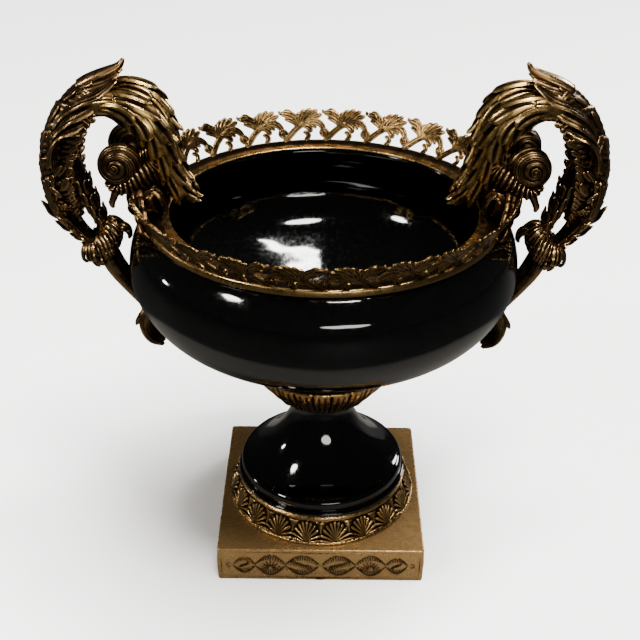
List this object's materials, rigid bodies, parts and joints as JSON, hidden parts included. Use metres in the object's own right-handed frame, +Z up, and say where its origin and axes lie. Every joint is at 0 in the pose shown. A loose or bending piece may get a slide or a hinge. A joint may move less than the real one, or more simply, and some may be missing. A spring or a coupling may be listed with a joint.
{
  "type": "mantel urn",
  "caption": "Wide black porcelain urn on a flared foot in gilt-bronze mounts, with tall acanthus-leaf handles, a pierced rim gallery and a square plinth.",
  "frame": {"origin": "middle of the plinth's underside, at floor level", "axes": "+X along the line through the handles, +Y towards the back, +Z up"},
  "size_m": [0.4718, 0.3302, 0.461],
  "materials": {
    "porcelain": null,
    "gilt": "aged gilt bronze, brown in the hollows and rubbed bright on the raised edges"
  },
  "bodies": {
    "root": {"plinth": "gilt", "acanthus_ring": "gilt", "foot": "porcelain", "calyx": "gilt", "bowl": "porcelain", "rim_gallery": "gilt", "handle_left": "gilt", "handle_right": "gilt"}
  },
  "joints": []
}
